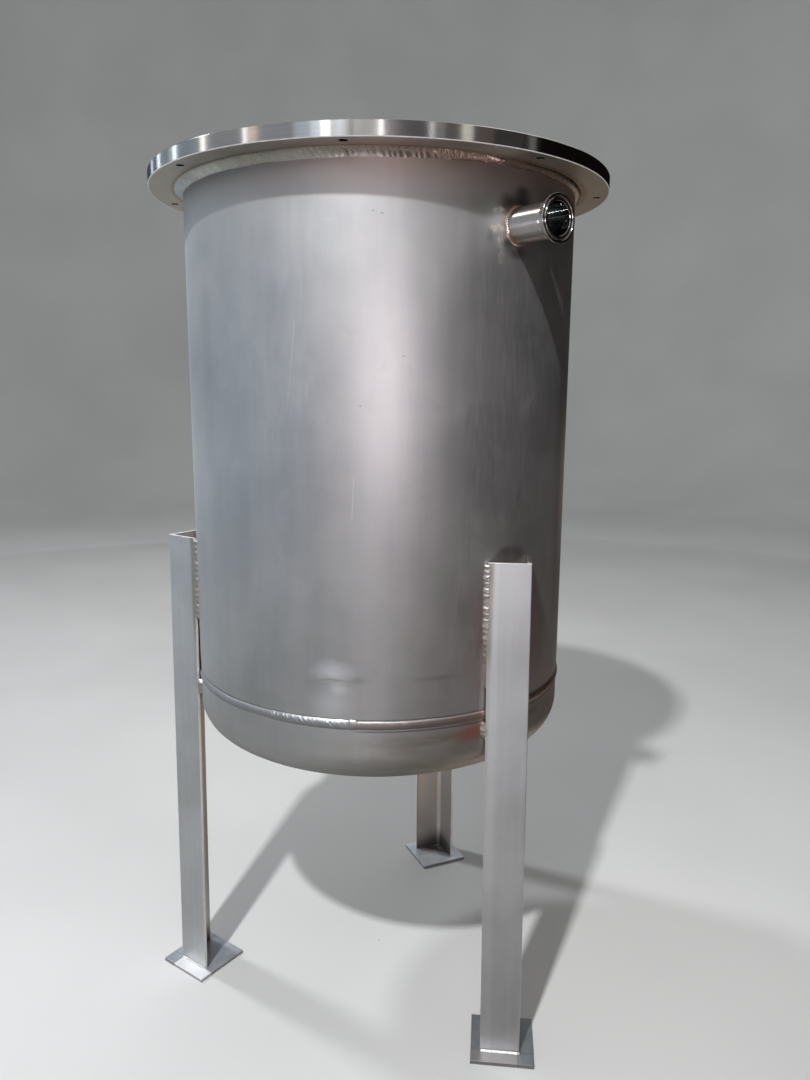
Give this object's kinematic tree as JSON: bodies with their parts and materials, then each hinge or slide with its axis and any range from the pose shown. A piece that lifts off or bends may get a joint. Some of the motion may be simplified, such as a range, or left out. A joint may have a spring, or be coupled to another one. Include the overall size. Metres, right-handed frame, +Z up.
{
  "type": "vertical storage tank",
  "caption": "Open-topped stainless steel vertical storage tank with bolted ring flange, dished bottom, clamp nozzle and angle legs on foot plates.",
  "frame": {"origin": "on the tank's axis at floor level, in the middle of the three feet, where mount floor_centre is", "axes": "+Z up along the tank's axis, -Y towards the nozzle and leg 1"},
  "size_m": [0.582, 0.6101, 1.092],
  "materials": {
    "satin_sheet": "satin mill sheet, lightly polished",
    "turned_steel": "turned and polished rim, matt underside",
    "polished_steel": "bright polished tube",
    "leg_steel": "matt mill finish",
    "plate_steel": "dull mill finish",
    "weld_metal": "bright rippled beads with straw and rose heat tint"
  },
  "bodies": {
    "root": {"flange_ring": "turned_steel", "flange_weld": "weld_metal", "seal_weld": "weld_metal", "shell_wall": "satin_sheet", "girth_weld": "weld_metal", "bottom_dish": "satin_sheet", "nozzle_tube": "polished_steel", "nozzle_ferrule": "polished_steel", "nozzle_weld": "weld_metal", "leg_1": "leg_steel", "leg_2": "leg_steel", "leg_3": "leg_steel", "foot_plate_1": "plate_steel", "foot_plate_2": "plate_steel", "foot_plate_3": "plate_steel", "foot_weld_1": "weld_metal", "foot_weld_2": "weld_metal", "foot_weld_3": "weld_metal", "leg_1_weld_right_upper": "weld_metal", "leg_1_weld_right_lower": "weld_metal", "leg_1_weld_left_upper": "weld_metal", "leg_1_weld_left_lower": "weld_metal", "leg_2_weld_right_upper": "weld_metal", "leg_2_weld_right_lower": "weld_metal", "leg_2_weld_left_upper": "weld_metal", "leg_2_weld_left_lower": "weld_metal", "leg_3_weld_right_upper": "weld_metal", "leg_3_weld_right_lower": "weld_metal", "leg_3_weld_left_upper": "weld_metal", "leg_3_weld_left_lower": "weld_metal"}
  },
  "joints": []
}
